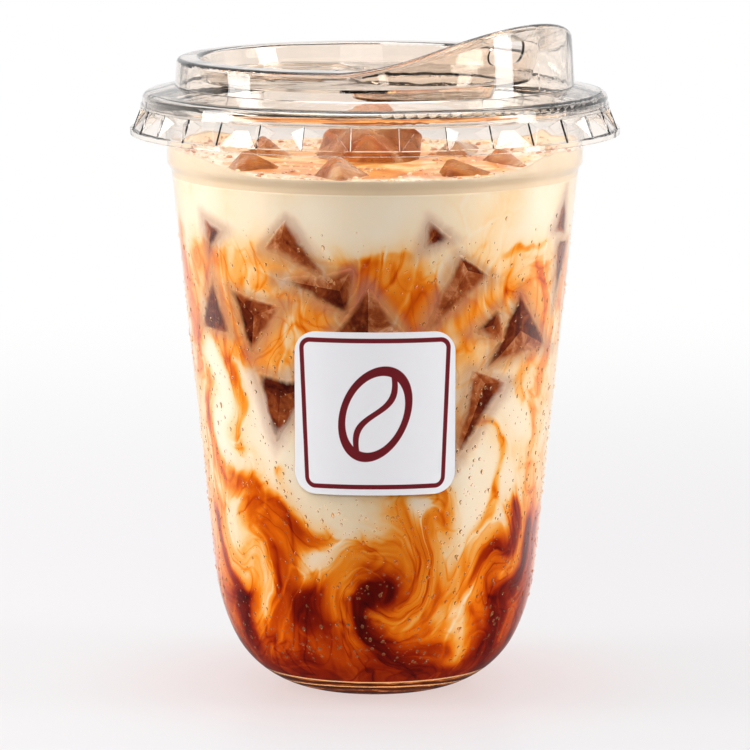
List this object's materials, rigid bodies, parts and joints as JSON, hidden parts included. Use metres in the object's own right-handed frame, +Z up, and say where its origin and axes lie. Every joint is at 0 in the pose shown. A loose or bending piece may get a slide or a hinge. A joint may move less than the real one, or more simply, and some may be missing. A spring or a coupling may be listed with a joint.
{
  "type": "iced latte",
  "caption": "Iced latte with caramel swirls and floating ice in a clear takeaway cup with a square label that bears a coffee bean, and a clear lid with a crimped skirt and a sip spout",
  "frame": {"origin": "middle of the foot, on the surface that the cup stands on", "axes": "+Z up the cup's axis; the label faces -Y; the lid's spout points 36 degrees from +X towards -Y; the axes carry the cup's size in Z"},
  "size_m": [0.1058, 0.1058, 0.1459],
  "materials": {
    "clear_plastic": "clear moulded plastic",
    "lid_plastic": "clear thermoformed plastic",
    "drink": "milk coffee with caramel swirls",
    "foam": "fine milk foam",
    "label": "matt sticker paper",
    "ice": "ice stained by coffee"
  },
  "bodies": {
    "root": {"cup": "clear_plastic", "lid": "lid_plastic", "drink": "drink", "foam": "foam", "label": "label", "ice_1": "ice", "ice_2": "ice", "ice_3": "ice", "ice_4": "ice", "ice_5": "ice", "ice_6": "ice", "ice_7": "ice"}
  },
  "joints": []
}
